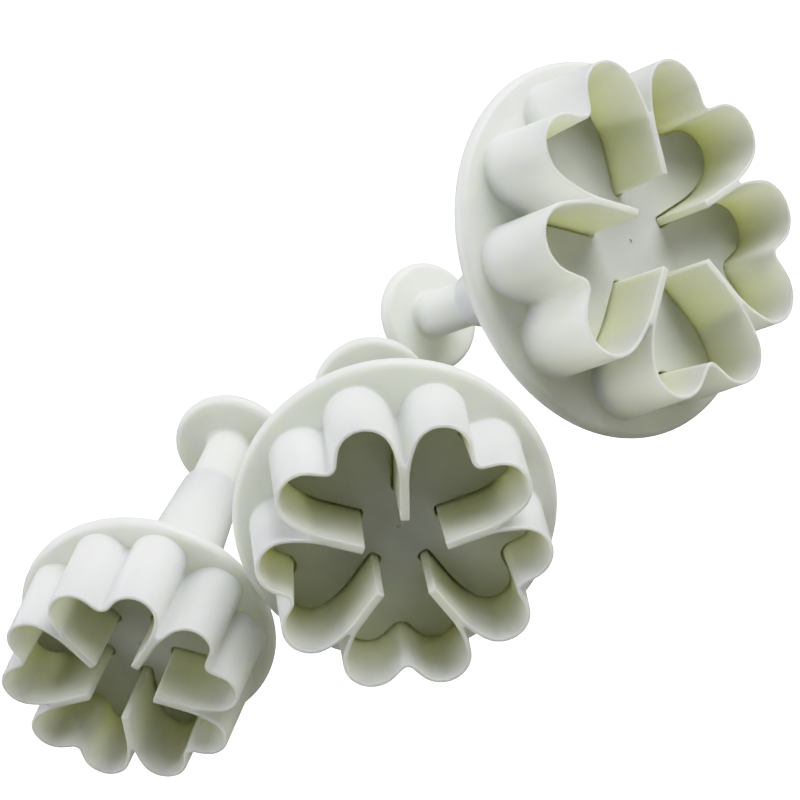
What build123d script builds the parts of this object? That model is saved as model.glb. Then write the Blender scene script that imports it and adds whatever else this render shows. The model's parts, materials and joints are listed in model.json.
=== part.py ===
# A set of three flower plunger cutters for sugar paste, lying on their sides on a table.
# Each cutter is a moulded shell with a five-petal blade, a flange and a hollow hub.
# A pressing plate inside the blade is pushed out by a rod and a thumb knob, and a coil
# spring inside the hub brings it back. Millimetres, +Z up, the table at zero height, and
# the origin under the middle of the set.
import os
from math import asin, atan2, cos, degrees, hypot, pi, radians, sin

from build123d import *

os.makedirs("parts", exist_ok=True)

# Shell: the flange, the blade wall and the hub that carries the plunger
flange_thickness = 2.4
flange_rim_share = 0.479
blade_edge_inside = 0.35
blade_edge_outside = 0.2
blade_root_outside = 0.7
notch_round = 1.1
spike_half_width = 0.6
spike_end_round = 0.2
web_round = 0.3
hub_length = 34.9
hub_spread = 1.9
hub_mouth_wall = 0.65
hub_root_round = 1.6
hub_mouth_round = 0.35
hub_floor_thickness = 3.6

# Plunger: the pressing plate, the rod and the thumb knob
plate_thickness = 1.8
plate_boss_length = 0.6
plate_boss_wall = 1.6
plate_skin = 0.8
gate_mark_radius = 0.8
gate_mark_depth = 0.3
rod_radius = 2.0
rod_end_chamfer = 0.3
knob_radius = 10.6
knob_thickness = 3.0
knob_rim_share = 0.467
knob_top_skin = 3.2
neck_radius = 4.3
neck_showing = 14.0
neck_in_hub = 8.0
neck_root_round = 0.9
neck_end_round = 0.3

# Return spring, which has its coil midway between the rod and the hub's bore
spring_wire_diameter = 0.7
spring_turns = 9
spring_end_turn_gap = 0.55
spring_arc_pairs_per_turn = 4
gap_points_per_turn = 24

# Clearances
plate_gap = 0.35
neck_gap = 0.25
rod_running_gap = 0.08
rod_seat_gap = 0.02
stop_gap = 0.1
spring_seat_gap = 0.1
eject_past_edge = 0.4
cut_overrun = 1.0

# Shape of one petal, as shares of the radius at the notch between its two lobes
petal_count = 5
lobe_out_share = 0.945
lobe_side_share = 0.3
lobe_lean_share = 0.035
lobe_radius_share = 0.245
side_radius_share = 0.92
notch_corner_share = 0.985

# The three sizes of cutter. Angles are in degrees: where the cutter points on the table, how
# far it is turned about its own axis, and which way it lies from the medium cutter. The large
# one's distance is a share of the two flange radii added together, and the small one lies
# with its rim a set gap from the medium one's.
large_notch_radius = 20.9
large_spike_radius = 7.5
large_blade_height = 12.4
large_flange_overhang = 2.66
large_heading_angle = 305.4
large_turn_angle = 21.9
large_bearing_angle = 27.67
large_distance_share = 1.0542
medium_notch_radius = 15.5
medium_spike_radius = 5.6
medium_blade_height = 13.0
medium_flange_overhang = 2.42
medium_heading_angle = 265.3
medium_turn_angle = 29.4
small_notch_radius = 13.6
small_spike_radius = 4.9
small_blade_height = 12.5
small_flange_overhang = 1.2
small_heading_angle = 250.4
small_turn_angle = 70.5
small_bearing_angle = 167.6
small_rim_gap = 0.3
rim_points_per_turn = 120
halvings = 20

# Sizes that follow from the ones above
flange_rim_round = flange_rim_share * flange_thickness
knob_rim_round = knob_rim_share * knob_thickness
hub_bore_radius = neck_radius + neck_gap
hub_mouth_radius = hub_bore_radius + hub_mouth_wall
hub_root_radius = hub_mouth_radius + hub_spread
plate_boss_radius = rod_radius + plate_boss_wall
spring_coil_radius = (rod_radius + hub_bore_radius) / 2
spring_end_pitch = spring_wire_diameter + spring_end_turn_gap
petal_angle = 2 * pi / petal_count

# Heights along a cutter's own axis: zero is the front of the flange, up is the cutting edge
hub_mouth_height = -(flange_thickness + hub_length)
hub_floor_height = -(flange_thickness + hub_floor_thickness)
knob_underside_height = hub_mouth_height - neck_showing
knob_top_height = knob_underside_height - knob_thickness
neck_end_height = hub_mouth_height + neck_in_hub
rod_knob_end_height = knob_top_height + knob_top_skin
plate_back_height = stop_gap + plate_boss_length
plate_face_height = plate_back_height + plate_thickness
rod_plate_end_height = plate_face_height - plate_skin


class CutterSize:
    """The sizes of one cutter and the way it lies on the table."""

    def __init__(self, name, notch_radius, spike_radius, blade_height, flange_overhang,
                 heading_angle, turn_angle):
        self.name = name
        self.notch_radius = notch_radius
        self.spike_radius = spike_radius
        self.blade_height = blade_height
        self.heading = radians(heading_angle)
        self.turn = radians(turn_angle)
        self.place = Vector(0, 0, 0)
        root_out_share = lobe_out_share + lobe_lean_share
        lobe_reach = (hypot(root_out_share, lobe_side_share) + lobe_radius_share) * notch_radius
        self.flange_radius = lobe_reach + blade_root_outside + flange_overhang


medium_cutter = CutterSize(
    "medium", medium_notch_radius, medium_spike_radius, medium_blade_height,
    medium_flange_overhang, medium_heading_angle, medium_turn_angle)
large_cutter = CutterSize(
    "large", large_notch_radius, large_spike_radius, large_blade_height,
    large_flange_overhang, large_heading_angle, large_turn_angle)
small_cutter = CutterSize(
    "small", small_notch_radius, small_spike_radius, small_blade_height,
    small_flange_overhang, small_heading_angle, small_turn_angle)
cutter_sizes = [large_cutter, medium_cutter, small_cutter]


def turned(corners):
    """A round solid about the upright axis, from corners of radius, height and rounding."""
    outline = Polyline([(radius, height) for radius, height, rounding in corners], close=True)
    profile = make_face(outline)
    for radius, height, rounding in corners:
        if rounding:
            corner = profile.vertices().sort_by_distance((radius, height))[0]
            profile = fillet(corner, rounding)
    return revolve(Plane.XZ * profile, Axis.Z)


def half_petal(size, grow, lean_share, spike_radius):
    """Points of the upper half of a petal whose wall line is moved outwards by grow."""
    ray = Vector(cos(petal_angle / 2), sin(petal_angle / 2))
    inward = Vector(ray.Y, -ray.X)
    lobe_centre = Vector(lobe_out_share + lean_share, lobe_side_share) * size.notch_radius
    lobe = lobe_radius_share * size.notch_radius
    side = side_radius_share * size.notch_radius
    offset = spike_half_width - blade_edge_inside
    drop = offset + side - lobe_centre.dot(inward)
    straight = lobe_centre.dot(ray) - ((side - lobe) ** 2 - drop ** 2) ** 0.5
    side_centre = ray * straight + inward * (offset + side)
    away = (lobe_centre - side_centre).normalized()
    if spike_radius:
        leave = -inward
        end_round = spike_end_round - blade_edge_inside - grow
        end = ray * (spike_radius + blade_edge_inside + grow) + inward * (offset - grow)
        tip = end - inward * end_round
        start = end + ray * end_round
        bend = end + (ray - inward + (inward - ray).normalized()) * end_round
    else:
        reach = side + grow + web_round
        web = straight + (reach ** 2 - (offset + side) ** 2) ** 0.5
        leave = (ray * web - side_centre).normalized()
        start = side_centre + leave * (side + grow)
        tip = ray * (web - web_round)
        bend = tip
    corner = Vector(notch_corner_share * size.notch_radius, 0)
    rise = lobe_centre - corner
    slope = atan2(rise.Y, rise.X) - asin(lobe / rise.length)
    slope_normal = Vector(sin(slope), -cos(slope))
    lobe_top = (atan2(away.Y, away.X) + atan2(slope_normal.Y, slope_normal.X)) / 2
    notch_centre = corner + Vector(notch_round / sin(slope), 0)
    return {
        "tip": tip,
        "bend": bend,
        "start": start,
        "side_start": side_centre + leave * (side + grow),
        "side_middle": side_centre + (leave + away).normalized() * (side + grow),
        "side_end": side_centre + away * (side + grow),
        "lobe_top": lobe_centre + Vector(cos(lobe_top), sin(lobe_top)) * (lobe + grow),
        "slope_start": lobe_centre + slope_normal * (lobe + grow),
        "slope_end": notch_centre - slope_normal * (notch_round - grow),
        "notch": notch_centre - Vector(notch_round - grow, 0),
    }


def flower(size, grow, lean_share=0, spike_radius=0):
    """The flat flower inside the wall line moved by grow, with its petals about the axis.

    A lean share moves the lobes outwards. With a spike radius the sides of the petals run
    on beside the spikes, which end flat. Without it neighbours meet in a soft corner."""
    upper = half_petal(size, grow, lean_share, spike_radius)
    lower = {name: Vector(point.X, -point.Y) for name, point in upper.items()}
    petal = [
        ThreePointArc(lower["side_start"], lower["side_middle"], lower["side_end"]),
        ThreePointArc(lower["side_end"], lower["lobe_top"], lower["slope_start"]),
        Line(lower["slope_start"], lower["slope_end"]),
        ThreePointArc(lower["slope_end"], upper["notch"], upper["slope_end"]),
        Line(upper["slope_end"], upper["slope_start"]),
        ThreePointArc(upper["slope_start"], upper["lobe_top"], upper["side_end"]),
        ThreePointArc(upper["side_end"], upper["side_middle"], upper["side_start"]),
    ]
    if spike_radius:
        next_tip = lower["tip"].rotate(Axis.Z, degrees(petal_angle))
        petal.insert(0, ThreePointArc(lower["tip"], lower["bend"], lower["start"]))
        petal.insert(1, Line(lower["start"], lower["side_start"]))
        petal.append(Line(upper["side_start"], upper["start"]))
        petal.append(ThreePointArc(upper["start"], upper["bend"], upper["tip"]))
        petal.append(Line(upper["tip"], next_tip))
    else:
        next_start = lower["start"].rotate(Axis.Z, degrees(petal_angle))
        petal.append(ThreePointArc(upper["start"], upper["bend"], next_start))
    edges = []
    for index in range(petal_count):
        edges += [edge.rotate(Axis.Z, degrees(index * petal_angle)) for edge in petal]
    return make_face(Wire(edges))


def inner_flower(size, gap):
    """The flower inside the blade wall, smaller by a gap all round and round the spikes."""
    return flower(size, -(blade_edge_inside + gap), spike_radius=size.spike_radius)


def shell(size):
    """The moulded shell: flange, hub with its bore and guide hole, and the blade wall."""
    body = turned([
        (0, 0, 0),
        (size.flange_radius, 0, flange_rim_round),
        (size.flange_radius, -flange_thickness, flange_rim_round),
        (hub_root_radius, -flange_thickness, hub_root_round),
        (hub_mouth_radius, hub_mouth_height, hub_mouth_round),
        (hub_bore_radius, hub_mouth_height, 0),
        (hub_bore_radius, hub_floor_height, 0),
        (rod_radius + rod_running_gap, hub_floor_height, 0),
        (rod_radius + rod_running_gap, -flange_thickness / 2, 0),
        (0, -flange_thickness / 2, 0),
    ])
    root = flower(size, blade_root_outside, lean_share=lobe_lean_share)
    edge = Pos(0, 0, size.blade_height) * flower(size, blade_edge_outside)
    outlines = [root.face().outer_wire(), edge.face().outer_wire()]
    wall = Solid.make_loft(outlines, ruled=True)
    recess = extrude(inner_flower(size, 0), size.blade_height + cut_overrun)
    guide = Cylinder(rod_radius + rod_running_gap, 2 * flange_thickness)
    return body + (wall - recess) - guide


def pressing_plate(size):
    """The flower plate that pushes the paste out, with a socket for the rod at its back."""
    plate = Pos(0, 0, plate_back_height) * extrude(inner_flower(size, plate_gap), plate_thickness)
    boss_length = plate_back_height - stop_gap
    boss = Pos(0, 0, stop_gap) * Cylinder(
        plate_boss_radius, boss_length + plate_skin, align=(Align.CENTER, Align.CENTER, Align.MIN))
    socket = Pos(0, 0, stop_gap) * Cylinder(
        rod_radius + rod_seat_gap, rod_plate_end_height - stop_gap,
        align=(Align.CENTER, Align.CENTER, Align.MIN))
    mark = Pos(0, 0, plate_face_height) * Cylinder(gate_mark_radius, 2 * gate_mark_depth)
    return plate + boss - socket - mark


def push_rod():
    """The round rod from the plate's socket, through the guide hole, into the knob's neck."""
    length = rod_plate_end_height - rod_knob_end_height - 2 * rod_seat_gap
    rod = Pos(0, 0, rod_knob_end_height + rod_seat_gap) * Cylinder(
        rod_radius, length, align=(Align.CENTER, Align.CENTER, Align.MIN))
    ends = rod.edges().filter_by(GeomType.CIRCLE)
    return chamfer(ends, rod_end_chamfer)


def knob():
    """The thumb knob: a rounded disc and the neck that slides in the hub's mouth."""
    return turned([
        (0, knob_top_height, 0),
        (knob_radius, knob_top_height, knob_rim_round),
        (knob_radius, knob_underside_height, knob_rim_round),
        (neck_radius, knob_underside_height, neck_root_round),
        (neck_radius, neck_end_height, neck_end_round),
        (rod_radius + rod_seat_gap, neck_end_height, 0),
        (rod_radius + rod_seat_gap, rod_knob_end_height, 0),
        (0, rod_knob_end_height, 0),
    ])


def spring_height(turn):
    """Height of the wire's middle after a number of turns: close end turns, even between."""
    low = neck_end_height + spring_seat_gap + spring_wire_diameter / 2
    high = hub_floor_height - spring_seat_gap - spring_wire_diameter / 2
    open_turns = spring_turns - 2
    open_rise = high - low - 2 * spring_end_pitch
    if turn <= 1:
        return low + spring_end_pitch * turn
    if turn >= spring_turns - 1:
        return high - spring_end_pitch * (spring_turns - turn)
    return low + spring_end_pitch + open_rise * (turn - 1) / open_turns


def spring_point(turn):
    """The wire's middle after a number of turns."""
    angle = 2 * pi * turn
    return Vector(spring_coil_radius * cos(angle), spring_coil_radius * sin(angle),
                  spring_height(turn))


def spring_direction(turn):
    """The way the wire runs after a number of turns."""
    step = 1 / spring_arc_pairs_per_turn / 2
    rise = (spring_height(turn + step) - spring_height(turn - step)) / (2 * step)
    angle = 2 * pi * turn
    around = 2 * pi * spring_coil_radius
    return Vector(-around * sin(angle), around * cos(angle), rise).normalized()


def return_spring():
    """The coil spring: one unbroken round wire swept along pairs of arcs."""
    arcs = []
    for index in range(spring_turns * spring_arc_pairs_per_turn):
        before = index / spring_arc_pairs_per_turn
        after = (index + 1) / spring_arc_pairs_per_turn
        first = spring_point(before)
        last = spring_point(after)
        leave = spring_direction(before)
        arrive = spring_direction(after)
        chord = last - first
        both = leave + arrive
        spread = 2 * (1 - leave.dot(arrive))
        along = chord.dot(both)
        reach = (-along + (along ** 2 + spread * chord.dot(chord)) ** 0.5) / spread
        middle = (first + last + (leave - arrive) * reach) * 0.5
        across = ((last - arrive * reach) - (first + leave * reach)).normalized()
        arcs.append(TangentArc(first, middle, tangent=leave))
        arcs.append(TangentArc(middle, last, tangent=across))
    path = Wire(arcs)
    start = Plane(origin=spring_point(0), z_dir=spring_direction(0))
    return sweep(start * Circle(spring_wire_diameter / 2), path=path)


def spring_gap():
    """Least gap between the wire's turns, measured on points along it."""
    count = spring_turns * gap_points_per_turn + 1
    half_turn = gap_points_per_turn // 2
    points = [spring_point(index / gap_points_per_turn) for index in range(count)]
    least = min((points[later] - points[earlier]).length
                for earlier in range(count) for later in range(earlier + half_turn, count))
    return least - spring_wire_diameter


def lean(size):
    """The tilt at which the flange's rim and the knob's rim both lie on the table."""
    apart = -(knob_top_height + knob_rim_round) - (flange_thickness - flange_rim_round)
    drop = (size.flange_radius - flange_rim_round) - (knob_radius - knob_rim_round)
    return atan2(drop, apart) + asin((flange_rim_round - knob_rim_round) / hypot(apart, drop))


def lying_plane(size):
    """The plane of the flange's front face, with the cutter lying on the table."""
    tilt = lean(size)
    level = Vector(cos(size.heading), sin(size.heading), 0)
    axis = level * cos(tilt) + Vector(0, 0, sin(tilt))
    side = Vector(-level.Y, level.X, 0)
    across = side * cos(size.turn) + axis.cross(side) * sin(size.turn)
    rim = (size.flange_radius - flange_rim_round) * cos(tilt)
    height = rim + (flange_thickness - flange_rim_round) * sin(tilt) + flange_rim_round
    return Plane(origin=size.place + Vector(0, 0, height), x_dir=across, z_dir=axis)


def rim_points(size, height):
    """Points on the circle that the flange's rim rounding has its middle on."""
    plane = lying_plane(size)
    radius = size.flange_radius - flange_rim_round
    angles = [2 * pi * index / rim_points_per_turn for index in range(rim_points_per_turn)]
    return [plane.from_local_coords((radius * cos(angle), radius * sin(angle), height))
            for angle in angles]


def rim_gap(one, other):
    """Least gap between the rims of two cutters where they lie."""
    heights = (-flange_rim_round, flange_rim_round - flange_thickness)
    first = [point for height in heights for point in rim_points(one, height)]
    second = [point for height in heights for point in rim_points(other, height)]
    least = min(hypot(a.X - b.X, a.Y - b.Y, a.Z - b.Z) for a in first for b in second)
    return least - 2 * flange_rim_round


def lay_out():
    """Places the large and the small cutter beside the medium one, which stays put."""
    bearing = radians(large_bearing_angle)
    spread = large_distance_share * (large_cutter.flange_radius + medium_cutter.flange_radius)
    large_cutter.place = Vector(cos(bearing), sin(bearing), 0) * spread
    bearing = radians(small_bearing_angle)
    near = max(small_cutter.flange_radius, medium_cutter.flange_radius)
    far = 2 * (small_cutter.flange_radius + medium_cutter.flange_radius)
    for halving in range(halvings):
        middle = (near + far) / 2
        small_cutter.place = Vector(cos(bearing), sin(bearing), 0) * middle
        if rim_gap(small_cutter, medium_cutter) > small_rim_gap:
            far = middle
        else:
            near = middle


lay_out()
pieces = {}
planes = {}
for size in cutter_sizes:
    plane = lying_plane(size)
    planes[size.name] = plane
    pieces[size.name + "_cutter_shell"] = plane * shell(size)
    pieces[size.name + "_pressing_plate"] = plane * pressing_plate(size)
    pieces[size.name + "_push_rod"] = plane * push_rod()
    pieces[size.name + "_return_spring"] = plane * return_spring()
    pieces[size.name + "_knob"] = plane * knob()

# The origin goes on the table under the middle of the whole set
boxes = [piece.bounding_box() for piece in pieces.values()]
left, right = min(box.min.X for box in boxes), max(box.max.X for box in boxes)
front, back = min(box.min.Y for box in boxes), max(box.max.Y for box in boxes)
to_origin = Vector(-(left + right) / 2, -(front + back) / 2, -min(box.min.Z for box in boxes))
for name, piece in pieces.items():
    export_step(Pos(to_origin) * piece, "parts/" + name + ".step")

print("least gap between spring turns", round(spring_gap(), 3))
print("moved to the origin by", to_origin)
for size in cutter_sizes:
    plane = planes[size.name]
    origin = plane.origin + to_origin
    travel = size.blade_height + eject_past_edge - plate_face_height
    print(size.name, "origin", tuple(round(v, 4) for v in origin),
          "axis", tuple(round(v, 6) for v in plane.z_dir),
          "across", tuple(round(v, 6) for v in plane.x_dir), "travel", round(travel, 3))
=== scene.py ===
import json
from math import asin, atan2, cos, hypot, pi, radians, sin

import bmesh
import bpy
from mathutils import Matrix, Vector


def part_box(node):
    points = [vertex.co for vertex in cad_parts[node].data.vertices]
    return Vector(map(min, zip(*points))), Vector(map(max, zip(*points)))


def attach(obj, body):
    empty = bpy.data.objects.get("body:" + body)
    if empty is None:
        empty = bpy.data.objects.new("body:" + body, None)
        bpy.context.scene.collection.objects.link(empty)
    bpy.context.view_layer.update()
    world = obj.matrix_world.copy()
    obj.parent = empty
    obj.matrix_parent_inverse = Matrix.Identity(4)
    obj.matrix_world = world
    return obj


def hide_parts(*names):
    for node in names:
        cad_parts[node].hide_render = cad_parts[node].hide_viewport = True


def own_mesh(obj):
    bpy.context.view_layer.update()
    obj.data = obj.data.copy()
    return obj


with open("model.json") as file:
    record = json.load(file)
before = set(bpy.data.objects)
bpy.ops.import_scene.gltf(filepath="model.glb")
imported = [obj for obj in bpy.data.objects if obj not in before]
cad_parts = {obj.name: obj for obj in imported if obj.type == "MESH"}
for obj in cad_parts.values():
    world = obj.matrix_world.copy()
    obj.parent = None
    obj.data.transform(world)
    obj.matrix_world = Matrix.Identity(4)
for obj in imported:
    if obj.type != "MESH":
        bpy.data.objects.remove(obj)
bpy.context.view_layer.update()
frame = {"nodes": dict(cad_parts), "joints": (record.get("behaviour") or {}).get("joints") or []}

# Camera: the photograph looks down at the three cutters from in front and a little to the
# left, turned about its own line of sight so that they run up the picture. Its film holds
# back the brightest tones of the plastic.
mm = 0.001
camera_place = Vector((-0.01, -158.16, 123.85)) * mm
camera_below_level = radians(32.99)
camera_roll = radians(-28.39)
film_width = 36
lens_length = 53.19
film_middle_tone = (0.7, 0.7)
film_light_tone = (0.85, 0.8)
film_white = (1.0, 0.86)
camera = bpy.data.objects.new("camera", bpy.data.cameras.new("camera"))
bpy.context.scene.collection.objects.link(camera)
camera.data.sensor_width = film_width
camera.data.lens = lens_length
camera.matrix_world = (Matrix.Translation(camera_place)
                       @ Matrix.Rotation(pi / 2 - camera_below_level, 4, "X")
                       @ Matrix.Rotation(camera_roll, 4, "Z"))
bpy.context.scene.camera = camera
film = bpy.context.scene.view_settings
film.view_transform = "Standard"
film.use_curve_mapping = True
film_response = film.curve_mapping.curves[3].points
film_response.new(*film_middle_tone)
film_response.new(*film_light_tone)
film_response[-1].location = film_white
film.curve_mapping.update()

# Light: two wide soft lamps high on the left and the right and weaker ones round them, as in
# a picture taken in a light tent, over a table that glows from below.
lamp_spread = radians(50)
cool_white = (0.95, 0.98, 1.0)
clear_white = (0.98, 1.0, 1.0)
warm_white = (1.0, 1.0, 0.8)
table_glow_strength = 0.16


def soft_lamp(name, direction, strength, colour):
    """A broad light that comes from a direction, as from a large sheet of white cloth."""
    lamp = bpy.data.objects.new(name, bpy.data.lights.new(name, "SUN"))
    bpy.context.scene.collection.objects.link(lamp)
    lamp.data.energy = strength
    lamp.data.angle = lamp_spread
    lamp.data.color = colour
    lamp.matrix_world = Vector(direction).to_track_quat("Z", "Y").to_matrix().to_4x4()


soft_lamp("left_lamp", (-1, 0, 1), 1.56, cool_white)
soft_lamp("right_lamp", (1, 0, 1), 2.68, clear_white)
soft_lamp("high_right_lamp", (0.5, 0, 1), 0.22, cool_white)
soft_lamp("back_left_lamp", (-0.7, 0.8, 0.5), 0.62, cool_white)
soft_lamp("back_right_lamp", (0.7, 0.8, 0.5), 0.46, warm_white)
soft_lamp("low_left_lamp", (-1, -0.3, 0.25), 0.20, warm_white)
soft_lamp("table_glow_front", (0, -1, -0.4), 0.12, warm_white)
soft_lamp("table_glow_left", (-1, -0.5, -0.4), 0.18, warm_white)
soft_lamp("table_glow_right", (1, -0.5, -0.4), 0.50, warm_white)
world = bpy.data.worlds.new("glowing table")
bpy.context.scene.world = world
world.use_nodes = True
glow = world.node_tree.nodes["Background"]
glow.inputs["Color"].default_value = (1.0, 1.0, 1.0, 1)
view_direction = world.node_tree.nodes.new("ShaderNodeTexCoord")
direction_parts = world.node_tree.nodes.new("ShaderNodeSeparateXYZ")
glow_ramp = world.node_tree.nodes.new("ShaderNodeMapRange")
glow_ramp.inputs["From Max"].default_value = -1
glow_ramp.inputs["To Max"].default_value = table_glow_strength
world.node_tree.links.new(view_direction.outputs["Generated"], direction_parts.inputs["Vector"])
world.node_tree.links.new(direction_parts.outputs["Z"], glow_ramp.inputs["Value"])
world.node_tree.links.new(glow_ramp.outputs["Result"], glow.inputs["Strength"])


# Floor and tent: a plain white table top and the white cloth round it, both so evenly lit
# that the photograph shows no edge and no shadow in them.
floor_size = 4000 * mm
tent_radius = 1900 * mm
card_dull_white = (0.97, 0.97, 0.97, 1)
card_white = (1, 1, 1, 1)
card_brightness = 3.0


class Socket:
    """A shader socket that adds Math nodes when it is used in sums and products."""

    def __init__(self, shader, output):
        self.shader = shader
        self.output = output

    def math(self, operation, *values):
        return self.shader.node("ShaderNodeMath", {"operation": operation}, *values)["Value"]

    def __add__(self, other):
        return self.math("ADD", self, other)

    def __mul__(self, other):
        return self.math("MULTIPLY", self, other)

    __radd__ = __add__
    __rmul__ = __mul__


class Shader:
    """A material's node tree: one method adds any node and gives its outputs."""

    def __init__(self, name):
        self.material = bpy.data.materials.new(name)
        self.material.use_nodes = True
        self.tree = self.material.node_tree
        self.surface = self.tree.nodes["Principled BSDF"]

    def node(self, kind, settings={}, *values, **named):
        """A new node's outputs by name, with its settings and its sockets' values or links."""
        node = self.tree.nodes.new(kind)
        for setting, value in settings.items():
            setattr(node, setting, value)
        for index, value in enumerate(values):
            self.feed(node.inputs[index], value)
        for name, value in named.items():
            self.feed(node.inputs[name.replace("_", " ")], value)
        return {output.name: Socket(self, output) for output in node.outputs if output.enabled}

    def feed(self, socket, value):
        """Links a socket to another node's output, or sets it to a value."""
        if isinstance(value, Socket):
            self.tree.links.new(value.output, socket)
        else:
            socket.default_value = value

    def finish(self, name, value):
        """Sets or links a socket of the surface."""
        self.feed(self.surface.inputs[name], value)


def between(value, low, high):
    """How far a value is on its way from low to high, held within 0 and 1."""
    span = value.shader.node("ShaderNodeMapRange", {}, value, low, high, 0.0, 1.0)
    return span["Result"]


def blended(shader, amount, colour, other):
    """A colour that turns to another one by an amount.

    A Mix node has one set of sockets for each kind of value, under the same names, so the
    sockets for colours are found by their numbers."""
    mix = shader.tree.nodes.new("ShaderNodeMix")
    mix.data_type = "RGBA"
    shader.feed(mix.inputs[0], amount)
    shader.feed(mix.inputs[6], colour)
    shader.feed(mix.inputs[7], other)
    return Socket(shader, mix.outputs[2])


def noise(shader, place, scale, detail):
    """Soft random patches, as many in a metre as the scale says."""
    return shader.node("ShaderNodeTexNoise", {}, Vector=place, Scale=scale, Detail=detail)["Fac"]


card = Shader("white_card")
card_grain = noise(card, card.node("ShaderNodeTexCoord")["Object"], 900.0, 3.0)
card.finish("Base Color", (0, 0, 0, 1))
card.finish("Specular IOR Level", 0.0)
card.finish("Emission Color", blended(card, card_grain, card_dull_white, card_white))
card.finish("Emission Strength", card_brightness)
bpy.ops.object.select_all(action="DESELECT")
bpy.ops.mesh.primitive_plane_add(size=floor_size, location=(0, 0, 0))
floor = bpy.context.object
floor.name = "floor"
bpy.ops.mesh.primitive_uv_sphere_add(radius=tent_radius, location=(0, 0, 0))
tent = bpy.context.object
tent.name = "tent"
for backdrop in (floor, tent):
    backdrop.data.materials.append(card.material)
    backdrop.visible_diffuse = False
    backdrop.visible_glossy = False
    backdrop.visible_transmission = False
    backdrop.visible_shadow = False

# Shells: each is one moulding in off-white plastic, with a hollow hub, a round flange and
# a five-petal cutting wall whose folds run inwards as spikes. The wall is thickest at its
# root, which is softly filleted into the flange, and thins to a rounded cutting edge.
flange_thickness = 2.4 * mm
flange_rim_round = 0.479 * flange_thickness
blade_edge_inside = 0.35 * mm
blade_edge_outside = 0.2 * mm
blade_root_outside = 0.7 * mm
blade_edge_round = 0.2 * mm
notch_round = 1.1 * mm
spike_half_width = 0.6 * mm
spike_end_round = 0.25 * mm
web_round = 0.3 * mm
hub_length = 34.9 * mm
hub_spread = 1.9 * mm
hub_mouth_wall = 0.65 * mm
hub_root_round = 1.6 * mm
hub_mouth_round = 0.6 * mm
hub_floor_thickness = 3.6 * mm
neck_radius = 4.3 * mm
neck_gap = 0.25 * mm
rod_radius = 2.0 * mm
rod_running_gap = 0.08 * mm
rod_middle_height = -24.7 * mm
petal_count = 5
lobe_out_share = 0.945
lobe_side_share = 0.3
lobe_lean_share = 0.035
lobe_radius_share = 0.245
side_radius_share = 0.92
notch_corner_share = 0.985
hub_bore_radius = neck_radius + neck_gap
hub_mouth_radius = hub_bore_radius + hub_mouth_wall
hub_mouth_height = -(flange_thickness + hub_length)
hub_floor_height = -(flange_thickness + hub_floor_thickness)
guide_radius = rod_radius + rod_running_gap
petal_angle = 2 * pi / petal_count
near = 0.01 * mm
round_steps = 96
corner_steps = 8
fold_steps = 12
lobe_steps = 16
small_round_steps = 4
edge_round_steps = 3
crease_angle = radians(38)
plastic_ior = 1.49
light_depth = 3.0 * mm
shell_dull_white = (0.83, 0.855, 0.80, 1)
shell_white = (0.87, 0.88, 0.84, 1)
# Painted shade: the olive tint painted inside the cutting wall, strongest below this share of
# its height.
deep_shade_olive = (0.79, 0.81, 0.57, 1)
shade_full_share = 0.3


class Cutter:
    """One cutter's own sizes, and where the frame says it lies."""

    def __init__(self, name, notch_radius, spike_radius, blade_height, flange_overhang,
                 root_fillet, turn):
        self.name = name
        self.notch_radius = notch_radius * mm
        self.spike_radius = spike_radius * mm
        self.blade_height = blade_height * mm
        self.root_fillet = root_fillet * mm
        lobe_reach = hypot(lobe_out_share + lobe_lean_share, lobe_side_share) + lobe_radius_share
        foot_reach = lobe_reach * self.notch_radius + flange_overhang * mm
        self.flange_radius = foot_reach + blade_root_outside
        self.joint = name + "_plunger_press"
        joint = next(joint for joint in frame["joints"] if joint["name"] == self.joint)
        self.axis = Vector(joint["axis"]).normalized()
        self.travel = joint["range_m"][1]
        low, high = (Vector(corner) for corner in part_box(name + "_push_rod"))
        self.middle = (low + high) / 2 - self.axis * rod_middle_height
        side = Vector((-self.axis.y, self.axis.x, 0)).normalized()
        across = side * cos(radians(turn)) + self.axis.cross(side) * sin(radians(turn))
        turned = Matrix((across, self.axis.cross(across), self.axis)).transposed()
        self.place = Matrix.Translation(self.middle) @ turned.to_4x4()


cutters = [
    Cutter("large", notch_radius=20.9, spike_radius=7.5, blade_height=12.4,
           flange_overhang=2.66, root_fillet=0.35, turn=21.9),
    Cutter("medium", notch_radius=15.5, spike_radius=5.6, blade_height=13.0,
           flange_overhang=2.42, root_fillet=0.35, turn=29.4),
    Cutter("small", notch_radius=13.6, spike_radius=4.9, blade_height=12.5,
           flange_overhang=1.2, root_fillet=0.02, turn=70.5),
]


def edited_vertices():
    """The vertices of the mesh that is open in edit mode."""
    vertices = bmesh.from_edit_mesh(bpy.context.object.data).verts
    vertices.ensure_lookup_table()
    return vertices


def select_from(first):
    """Adds the vertices from a number on, with their edges and faces, to what is selected."""
    for vertex in edited_vertices()[first:]:
        vertex.select = True
    bmesh.from_edit_mesh(bpy.context.object.data).select_flush(True)


class Line:
    """A line drawn in edit mode: one vertex that is extruded along and spun through arcs."""

    def __init__(self, start):
        self.first = len(edited_vertices())
        bpy.ops.mesh.select_all(action="DESELECT")
        bpy.ops.mesh.primitive_plane_add(size=near, location=start)
        bpy.ops.mesh.merge(type="CENTER")
        self.end = Vector(start)

    def to(self, point):
        """A straight stretch."""
        step = Vector(point) - self.end
        bpy.ops.mesh.extrude_region_move(TRANSFORM_OT_translate={"value": step})
        self.end = Vector(point)

    def arc(self, centre, point, steps, normal=(0, 0, 1)):
        """A round stretch about a centre, which ends at a point."""
        before = self.end - Vector(centre)
        after = Vector(point) - Vector(centre)
        angle = atan2(before.cross(after).dot(Vector(normal)), before.dot(after))
        bpy.ops.mesh.spin(steps=steps, angle=-angle, center=centre, axis=normal)
        self.end = Vector(point)


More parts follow.
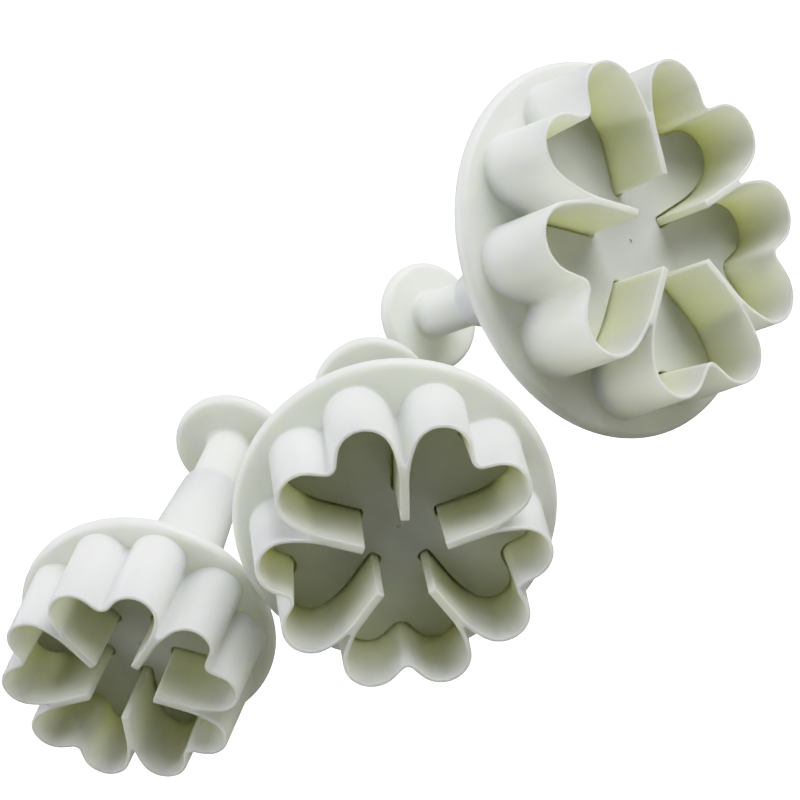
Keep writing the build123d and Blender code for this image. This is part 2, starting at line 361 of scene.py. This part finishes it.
def new_piece(name):
    """An empty mesh object, open in edit mode."""
    bpy.ops.object.select_all(action="DESELECT")
    bpy.ops.mesh.primitive_plane_add(size=near)
    bpy.context.object.name = name
    bpy.ops.object.mode_set(mode="EDIT")
    bpy.ops.mesh.select_all(action="SELECT")
    bpy.ops.mesh.delete(type="VERT")


def petal_line(size, height, grow, lean, spike_radius):
    """Draws half a petal's outline at a height, from the fold beside it to its notch.

    The line is moved outwards by grow, and its lobes lean out by a share of the notch's
    radius. Without a spike the fold is a round web between two petals."""
    ray = Vector((cos(petal_angle / 2), sin(petal_angle / 2), 0))
    inward = Vector((ray.y, -ray.x, 0))
    lift = Vector((0, 0, height))
    lobe_centre = Vector((lobe_out_share + lean, lobe_side_share, 0)) * size.notch_radius
    lobe = lobe_radius_share * size.notch_radius
    side = side_radius_share * size.notch_radius
    offset = spike_half_width - blade_edge_inside
    drop = offset + side - lobe_centre.dot(inward)
    straight = lobe_centre.dot(ray) - ((side - lobe) ** 2 - drop ** 2) ** 0.5
    side_centre = ray * straight + inward * (offset + side)
    away = (lobe_centre - side_centre).normalized()
    corner = Vector((notch_corner_share * size.notch_radius, 0, 0))
    rise = lobe_centre - corner
    slope = atan2(rise.y, rise.x) - asin(lobe / rise.length)
    slope_normal = Vector((sin(slope), -cos(slope), 0))
    notch_centre = corner + Vector((notch_round / sin(slope), 0, 0))
    if spike_radius:
        end_round = spike_end_round - blade_edge_inside - grow
        end = ray * (spike_radius + blade_edge_inside + grow) + inward * (offset - grow) + lift
        fold = Line(end - inward * (offset - grow))
        fold.to(end - inward * end_round)
        fold.arc(end + (ray - inward) * end_round, end + ray * end_round, small_round_steps)
        fold.to(side_centre - inward * (side + grow) + lift)
    else:
        reach = side + grow + web_round
        web = straight + (reach ** 2 - (offset + side) ** 2) ** 0.5
        leave = (ray * web - side_centre).normalized()
        fold = Line(ray * (web - web_round) + lift)
        web_end = side_centre + leave * (side + grow) + lift
        fold.arc(ray * web + lift, web_end, small_round_steps)
    side_end = side_centre + away * (side + grow) + lift
    lobe_end = lobe_centre + slope_normal * (lobe + grow) + lift
    notch_end = notch_centre - Vector((notch_round - grow, 0, 0)) + lift
    fold.arc(side_centre + lift, side_end, fold_steps)
    fold.arc(lobe_centre + lift, lobe_end, lobe_steps)
    fold.to(notch_centre - slope_normal * (notch_round - grow) + lift)
    fold.arc(notch_centre + lift, notch_end, small_round_steps)
    return fold


def petal_wall(size, levels, spike_radius=0):
    """Draws half a petal at each level, joins the levels and makes five petals.

    A line with spikes lies inside the wall or round the plate, and is marked so; the shell's
    material paints shade where it is marked.
    material."""
    first = len(edited_vertices())
    before = None
    for height, grow, lean in levels:
        line = petal_line(size, height, grow, lean, spike_radius)
        bpy.ops.mesh.select_all(action="DESELECT")
        if before:
            select_from(before.first)
            bpy.ops.mesh.bridge_edge_loops()
        before = line
    bpy.ops.mesh.select_all(action="DESELECT")
    select_from(first)
    bpy.ops.mesh.duplicate()
    bpy.ops.transform.resize(value=(1, -1, 1), center_override=(0, 0, 0))
    select_from(first)
    bpy.ops.mesh.spin(dupli=True, steps=petal_count - 1, angle=2 * pi - petal_angle,
                      center=(0, 0, 0), axis=(0, 0, 1))
    if spike_radius:
        inside = edited_vertices().layers.float.new("inside")
        for vertex in edited_vertices()[first:]:
            vertex[inside] = 1
    merge_doubles()


def merge_doubles():
    """Merges vertices that lie together. Leaving edit mode has the rest counted anew."""
    bpy.ops.mesh.select_all(action="SELECT")
    bpy.ops.mesh.remove_doubles(threshold=near / 5)
    bpy.ops.mesh.select_all(action="DESELECT")
    bpy.ops.object.mode_set(mode="OBJECT")
    bpy.ops.object.mode_set(mode="EDIT")


def fill_open_edges(height, least_radius):
    """Closes the flat face that the open edges at a height leave, outside a radius."""
    edited = bmesh.from_edit_mesh(bpy.context.object.data)
    bpy.ops.mesh.select_all(action="DESELECT")
    for edge in edited.edges:
        ends = [vertex.co for vertex in edge.verts]
        level = all(abs(end.z - height) < near for end in ends)
        outside = all(hypot(end.x, end.y) > least_radius for end in ends)
        edge.select_set(edge.is_boundary and level and outside)
    bpy.ops.mesh.fill(use_beauty=True)


def turned(corners):
    """Spins a profile of radius, height and rounding about the upright axis."""
    first = len(edited_vertices())
    points = [Vector((radius, 0, height)) for radius, height, rounding in corners]
    line = Line(points[0])
    for before, point, after, corner in zip(points, points[1:], points[2:], corners[1:]):
        back = (before - point).normalized()
        on = (after - point).normalized()
        rounding = corner[2]
        if rounding:
            half = back.angle(on) / 2
            reach = rounding / (sin(half) / cos(half))
            centre = point + (back + on).normalized() * (rounding / sin(half))
            line.to(point + back * reach)
            line.arc(centre, point + on * reach, corner_steps, (0, 1, 0))
        else:
            line.to(point)
    line.to(points[-1])
    bpy.ops.mesh.select_all(action="DESELECT")
    select_from(first)
    bpy.ops.mesh.spin(steps=round_steps, angle=2 * pi, center=(0, 0, 0), axis=(0, 0, 1))
    merge_doubles()


def finish_piece(size, shader, slot, body, *nodes):
    """Closes and smooths the piece, lays it where its cutter lies and gives it its finish."""
    merge_doubles()
    bpy.ops.mesh.select_all(action="SELECT")
    bpy.ops.mesh.normals_make_consistent(inside=False)
    bpy.ops.object.mode_set(mode="OBJECT")
    piece = bpy.context.object
    bpy.ops.object.shade_smooth_by_angle(angle=crease_angle)
    evened = piece.modifiers.new("even", "WEIGHTED_NORMAL")
    evened.keep_sharp = True
    bpy.ops.object.modifier_apply(modifier=evened.name)
    piece.matrix_world = size.place
    bpy.ops.object.transform_apply(location=True, rotation=True, scale=True)
    piece.data.materials.append(shader.material)
    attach(piece, body)
    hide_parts(*nodes)
    return piece


def arc_levels(height, grow, radius, start, end, steps, lean=0):
    """Levels of height, grow and lean round an arc of a wall's profile, by angles in degrees."""
    angles = [radians(start + (end - start) * index / steps) for index in range(steps + 1)]
    return [(height + radius * sin(angle), grow + radius * cos(angle), lean) for angle in angles]


def own_place(shader, size):
    """Coordinates in the cutter's own frame, with its axis upright."""
    place = shader.node("ShaderNodeTexCoord")["Object"]
    angles = size.place.inverted().to_euler()
    return shader.node("ShaderNodeMapping", {}, Vector=place,
                       Location=size.place.inverted().translation, Rotation=angles)["Vector"]


def mottled(shader, place, scale, colour, other):
    """A colour with soft patches of another one."""
    patches = between(noise(shader, place, scale, detail=3.0), 0.35, 0.65)
    return blended(shader, patches, colour, other)


def shell_plastic(size):
    """Off-white plastic that lets light in, slightly uneven from the mould, with painted shade:
    an olive tint painted on the inside of the cutting wall, stronger towards its root."""
    shader = Shader(size.name + "_shell_plastic")
    place = own_place(shader, size)
    tone = mottled(shader, place, 90.0, shell_dull_white, shell_white)
    # Painted shade: the inside of the cutting wall is tinted olive, more towards its root.
    inside = shader.node("ShaderNodeAttribute", {"attribute_name": "inside"})["Fac"]
    height = shader.node("ShaderNodeSeparateXYZ", {}, place)["Z"]
    depth = between(height, size.blade_height, shade_full_share * size.blade_height)
    painted_shade_amount = inside * (0.2 + 0.65 * depth)
    shader.finish("Base Color", blended(shader, painted_shade_amount, tone, deep_shade_olive))
    satin = noise(shader, place, scale=1400.0, detail=2.0)
    shader.finish("Roughness", 0.30 + satin * 0.12)
    swirl = noise(shader, place, scale=220.0, detail=4.0)
    pulled = shader.node("ShaderNodeMapping", {}, Vector=place, Scale=(1.0, 1.0, 0.1))["Vector"]
    streaks = noise(shader, pulled, scale=450.0, detail=2.0)
    relief = satin * 0.02 + swirl * 0.12 + streaks * 0.15
    bump = shader.node("ShaderNodeBump", {}, Height=relief, Strength=0.3, Distance=0.2 * mm)
    shader.finish("Normal", bump["Normal"])
    shader.finish("IOR", plastic_ior)
    shader.finish("Subsurface Weight", 1.0)
    shader.finish("Subsurface Radius", (1.0, 1.0, 0.75))
    shader.finish("Subsurface Scale", light_depth)
    return shader


for size in cutters:
    new_piece(size.name + "_cutter_shell_moulding")
    root = blade_root_outside
    top = size.blade_height
    edge_out = blade_edge_outside - blade_edge_round
    edge_in = blade_edge_round - blade_edge_inside
    foot = size.root_fillet
    shoulder = top - blade_edge_round
    outside = arc_levels(foot, root + foot, foot, 270, 180, small_round_steps, lobe_lean_share)
    outside += arc_levels(shoulder, edge_out, blade_edge_round, 0, 90, edge_round_steps)
    inside = arc_levels(shoulder, edge_in, blade_edge_round, 90, 180, edge_round_steps)
    inside += [(0, -blade_edge_inside, 0)]
    petal_wall(size, outside)
    turned([
        (size.flange_radius - flange_rim_round, 0, 0),
        (size.flange_radius, 0, flange_rim_round),
        (size.flange_radius, -flange_thickness, flange_rim_round),
        (hub_mouth_radius + hub_spread, -flange_thickness, hub_root_round),
        (hub_mouth_radius, hub_mouth_height, hub_mouth_round),
        (hub_bore_radius, hub_mouth_height, 0),
        (hub_bore_radius, hub_floor_height, 0),
        (guide_radius, hub_floor_height, 0),
        (guide_radius, 0, 0),
    ])
    fill_open_edges(0, guide_radius + near)
    petal_wall(size, inside, size.spike_radius)
    fill_open_edges(top, 0)
    fill_open_edges(0, 0)
    finish_piece(size, shell_plastic(size), "shell_plastic", size.name + "_cutter",
                 size.name + "_cutter_shell")

# Plates: a loose flower of the same plastic fills each cutting wall with a fine gap all
# round. Its face carries the small pit where the moulding was fed, and its back has a
# short round boss with a socket for the rod.
plate_gap = 0.35 * mm
stop_gap = 0.1 * mm
plate_thickness = 1.8 * mm
plate_boss_length = 0.6 * mm
plate_boss_wall = 1.6 * mm
plate_skin = 0.8 * mm
plate_edge_round = 0.2 * mm
gate_mark_radius = 0.4 * mm
gate_mark_depth = 0.2 * mm
gate_mark_floor_share = 0.8
rod_seat_gap = 0.02 * mm
plate_back_height = stop_gap + plate_boss_length
plate_face_height = plate_back_height + plate_thickness
plate_dull_grey = (0.69, 0.71, 0.69, 1)
plate_grey = (0.74, 0.755, 0.74, 1)
# Painted shade: the olive tint painted into the plate's hollows.
hollow_shade_olive = (0.77, 0.78, 0.55, 1)
hollow_reach = 12 * mm


def plate_plastic(size):
    """The plates' plastic, greyer than the shells', with painted shade: an olive tint painted
    where ambient occlusion finds walls close round the plate."""
    shader = Shader(size.name + "_plate_plastic")
    place = own_place(shader, size)
    tone = mottled(shader, place, 120.0, plate_dull_grey, plate_grey)
    # Painted shade: an olive tint where ambient occlusion finds the plate hemmed in by walls.
    room = shader.node("ShaderNodeAmbientOcclusion", {"samples": 6}, Distance=hollow_reach)["AO"]
    openness = between(room, 0.15, 0.6)
    shader.finish("Base Color", blended(shader, openness, hollow_shade_olive, tone))
    satin = noise(shader, place, scale=1400.0, detail=2.0)
    shader.finish("Roughness", 0.34 + satin * 0.12)
    bump = shader.node("ShaderNodeBump", {}, Height=satin, Strength=0.15, Distance=0.05 * mm)
    shader.finish("Normal", bump["Normal"])
    shader.finish("IOR", plastic_ior)
    return shader


for size in cutters:
    new_piece(size.name + "_pressing_plate_moulding")
    edge = -(blade_edge_inside + plate_gap)
    side = [(plate_back_height, edge, 0)]
    side += arc_levels(plate_face_height - plate_edge_round, edge - plate_edge_round,
                       plate_edge_round, 0, 90, edge_round_steps)
    petal_wall(size, side, size.spike_radius)
    turned([
        (gate_mark_radius, plate_face_height, 0),
        (gate_mark_floor_share * gate_mark_radius, plate_face_height - gate_mark_depth, 0),
        (0, plate_face_height - gate_mark_depth, 0),
    ])
    turned([
        (rod_radius + plate_boss_wall, plate_back_height, 0),
        (rod_radius + plate_boss_wall, stop_gap, 0),
        (rod_radius + rod_seat_gap, stop_gap, 0),
        (rod_radius + rod_seat_gap, plate_face_height - plate_skin, 0),
        (0, plate_face_height - plate_skin, 0),
    ])
    fill_open_edges(plate_face_height, 0)
    fill_open_edges(plate_back_height, 0)
    finish_piece(size, plate_plastic(size), "plate_plastic", size.name + "_plunger",
                 size.name + "_pressing_plate")

# Knobs: a thick round disc for the thumb, with a fully rounded rim, on a straight neck
# that slides in the hub's mouth. One moulding in the shell's plastic, glued to the rod.
knob_radius = 10.6 * mm
knob_thickness = 3.0 * mm
knob_rim_round = 0.467 * knob_thickness
knob_top_skin = 3.2 * mm
neck_showing = 14.0 * mm
neck_in_hub = 8.0 * mm
neck_root_round = 0.9 * mm
neck_end_round = 0.3 * mm
knob_underside_height = hub_mouth_height - neck_showing
knob_top_height = knob_underside_height - knob_thickness
neck_end_height = hub_mouth_height + neck_in_hub


def knob_plastic(size):
    """The same off-white plastic as the shell's."""
    shader = shell_plastic(size)
    shader.material.name = size.name + "_knob_plastic"
    return shader


for size in cutters:
    new_piece(size.name + "_thumb_knob")
    turned([
        (0, knob_top_height, 0),
        (knob_radius, knob_top_height, knob_rim_round),
        (knob_radius, knob_underside_height, knob_rim_round),
        (neck_radius, knob_underside_height, neck_root_round),
        (neck_radius, neck_end_height, neck_end_round),
        (rod_radius + rod_seat_gap, neck_end_height, 0),
        (rod_radius + rod_seat_gap, knob_top_height + knob_top_skin, 0),
        (0, knob_top_height + knob_top_skin, 0),
    ])
    finish_piece(size, knob_plastic(size), "knob_plastic", size.name + "_plunger",
                 size.name + "_knob")

# Rods: a drawn plastic rod, greyer and smoother than the mouldings, joins each plate to
# its knob. It is hidden in the hub and the knob's neck, so the frame's own form stays.
rod_dull_grey = (0.70, 0.71, 0.69, 1)
rod_grey = (0.78, 0.79, 0.77, 1)
for size in cutters:
    shader = Shader(size.name + "_rod_plastic")
    place = own_place(shader, size)
    drawn = shader.node("ShaderNodeMapping", {}, Vector=place, Scale=(1.0, 1.0, 0.05))["Vector"]
    lines = noise(shader, drawn, scale=2500.0, detail=2.0)
    shader.finish("Base Color", blended(shader, lines, rod_dull_grey, rod_grey))
    shader.finish("Roughness", 0.25 + lines * 0.15)
    shader.finish("IOR", plastic_ior)
    rod = frame["nodes"][size.name + "_push_rod"]
    rod.data.materials.clear()
    rod.data.materials.append(shader.material)

# Springs: a coil of bright steel wire round each rod, inside the hub, with its two end
# turns wound close. It is wound from one length and pushes between neck and hub floor.
spring_wire_diameter = 0.7 * mm
spring_turns = 9
spring_end_turn_gap = 0.55 * mm
spring_seat_gap = 0.1 * mm
spring_points_per_turn = 16
spring_crease_angle = radians(60)
steel_dull = (0.48, 0.47, 0.45, 1)
steel_bright = (0.66, 0.66, 0.66, 1)
spring_coil_radius = (rod_radius + hub_bore_radius) / 2
spring_end_pitch = spring_wire_diameter + spring_end_turn_gap
spring_low = neck_end_height + spring_seat_gap + spring_wire_diameter / 2
spring_high = hub_floor_height - spring_seat_gap - spring_wire_diameter / 2


def spring_height(turn):
    """Height of the wire's middle after a number of turns."""
    open_rise = spring_high - spring_low - 2 * spring_end_pitch
    wound = min(turn, 1) + max(turn - spring_turns + 1, 0)
    opened = min(max(turn - 1, 0), spring_turns - 2)
    return spring_low + spring_end_pitch * wound + open_rise * opened / (spring_turns - 2)


def spring_steel():
    """Bright drawn wire with lighter, more matt stretches."""
    shader = Shader("spring_steel_wire")
    matt = noise(shader, shader.node("ShaderNodeTexCoord")["Object"], scale=400.0, detail=3.0)
    shader.finish("Base Color", blended(shader, matt, steel_dull, steel_bright))
    shader.finish("Metallic", 1.0)
    shader.finish("Roughness", 0.2 + matt * 0.25)
    return shader


steel = spring_steel()
for size in cutters:
    wire = bpy.data.curves.new(size.name + "_spring_wire", "CURVE")
    wire.dimensions = "3D"
    wire.bevel_depth = spring_wire_diameter / 2
    wire.bevel_resolution = 3
    wire.resolution_u = 2
    wire.use_fill_caps = True
    turns = wire.splines.new("NURBS")
    turns.points.add(spring_turns * spring_points_per_turn)
    for index, point in enumerate(turns.points):
        turn = index / spring_points_per_turn
        place = Vector((spring_coil_radius * cos(2 * pi * turn),
                        spring_coil_radius * sin(2 * pi * turn), spring_height(turn)))
        point.co = (*(size.place @ place), 1)
    turns.order_u = 3
    turns.use_endpoint_u = True
    bpy.ops.object.select_all(action="DESELECT")
    drawn_wire = bpy.data.objects.new(size.name + "_return_spring_wire", wire)
    bpy.context.scene.collection.objects.link(drawn_wire)
    bpy.context.view_layer.objects.active = drawn_wire
    drawn_wire.select_set(True)
    bpy.ops.object.convert(target="MESH")
    spring = bpy.context.object
    bpy.ops.object.mode_set(mode="EDIT")
    merge_doubles()
    bpy.ops.object.mode_set(mode="OBJECT")
    bpy.ops.object.shade_smooth_by_angle(angle=spring_crease_angle)
    spring.data.materials.append(steel.material)
    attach(spring, size.name + "_cutter")
    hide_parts(size.name + "_return_spring")
    room = hub_floor_height - neck_end_height
    1 - size.travel / room
    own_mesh(spring)
